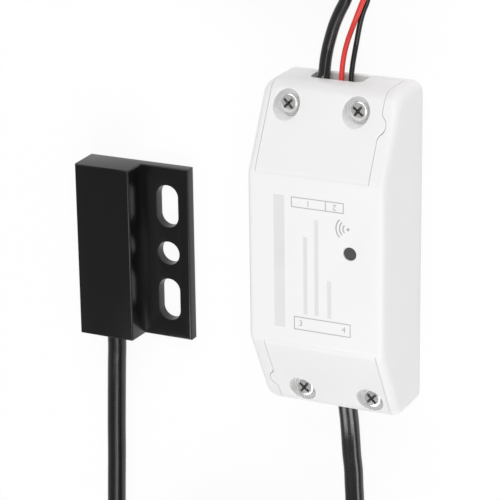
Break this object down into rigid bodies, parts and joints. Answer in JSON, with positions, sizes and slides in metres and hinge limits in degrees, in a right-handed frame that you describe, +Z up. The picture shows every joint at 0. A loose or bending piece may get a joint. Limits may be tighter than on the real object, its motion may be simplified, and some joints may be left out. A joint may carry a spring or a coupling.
{
  "type": "garage door controller",
  "caption": "White relay box with sloped screwed end covers, a pairing button and flying leads, with a wired black reed sensor for the door.",
  "frame": {"origin": "centre of the controller's flat back face, which lies on the table", "axes": "+Z up out of the label face, +Y along the controller towards its output end, +X to the right of the label, away from the sensor"},
  "size_m": [0.1054, 0.2715, 0.0272],
  "materials": {
    "housing_white": "fine satin moulded white plastic",
    "screw_steel": "bright nickel plated steel",
    "button_grey": "matte dark grey",
    "board_green": "solder resist over glass fibre board",
    "terminal_green": "glossy moulded plastic",
    "tinned_copper": "bright tinned metal",
    "black_plastic": "matte moulded plastic",
    "ferrite": "dull sintered ferrite",
    "copper_winding": "enamelled copper wire",
    "capacitor_sleeve": "shrunk glossy sleeve",
    "lamp_lens": "clear green lens",
    "relay_blue": "glossy moulded plastic",
    "relay_iron": "plated soft iron",
    "contact_brass": "bright plated brass",
    "sensor_black": "satin moulded black plastic",
    "potting_black": "cast resin",
    "reed_glass": "clear glass",
    "cord_black": "satin extruded jacket",
    "tie_black": "matte band",
    "plug_black": "satin overmould",
    "pin_nickel": "nickel plated brass",
    "lead_black": "satin extruded jacket",
    "wire_red": "smooth red insulation",
    "wire_black": "smooth black insulation"
  },
  "bodies": {
    "base": {"housing": "housing_white", "back_plate": "housing_white", "output_end_cover": "housing_white", "mains_end_cover": "housing_white", "cover_screws": "screw_steel", "circuit_board": "board_green", "output_terminal_block": "terminal_green", "mains_terminal_block": "terminal_green", "terminal_screws": "screw_steel", "terminal_wires": "tinned_copper", "fuse": "black_plastic", "rectifier": "black_plastic", "transformer_core": "ferrite", "transformer_winding": "copper_winding", "smoothing_capacitors": "capacitor_sleeve", "radio_module": "board_green", "radio_shield": "tinned_copper", "status_lamp": "lamp_lens", "tact_switch": "black_plastic", "relay_base": "black_plastic", "relay_case": "relay_blue", "relay_winding": "copper_winding", "relay_core": "relay_iron", "relay_yoke": "relay_iron", "relay_contact": "contact_brass", "sensor_housing": "sensor_black", "sensor_potting": "potting_black", "reed_glass": "reed_glass", "reed_leads": "tinned_copper", "mains_lead": "cord_black", "mains_lead_coil": "cord_black", "mains_lead_tail": "cord_black", "mains_coil_tie": "tie_black", "mains_plug": "plug_black", "mains_plug_pins": "pin_nickel", "sensor_lead": "lead_black", "sensor_lead_coil": "lead_black", "sensor_lead_tail": "lead_black", "sensor_coil_tie": "tie_black", "lead_socket": "plug_black", "sensor_pigtail": "lead_black", "sensor_plug": "plug_black", "sensor_plug_pins": "contact_brass", "output_wire_red": "wire_red", "output_wire_black": "wire_black", "output_red_coil": "wire_red", "output_black_coil": "wire_black", "output_wire_tips": "tinned_copper", "output_coil_ties": "tie_black"},
    "pairing_button": {"pairing_button": "button_grey"},
    "tact_plunger": {"tact_plunger": "housing_white"},
    "relay_armature": {"relay_armature": "relay_iron"}
  },
  "joints": [
    {"name": "button_press", "type": "slide", "parent": "base", "child": "pairing_button", "axis": [0, 0, -1], "range_m": [0, 0.0004], "stiffness_N_per_m": 400},
    {"name": "plunger_press", "type": "slide", "parent": "base", "child": "tact_plunger", "axis": [0, 0, -1], "range_m": [0, 0.0004]},
    {"name": "armature_pull", "type": "hinge", "parent": "base", "child": "relay_armature", "pos_m": [-0.00775, 0.0155, 0.0194], "axis": [1, 0, 0], "range_deg": [0, 2.5], "stiffness_Nm_per_rad": 0.02}
  ],
  "couplings": [
    {"joint": "plunger_press", "follows": "button_press", "ratio": 1}
  ]
}
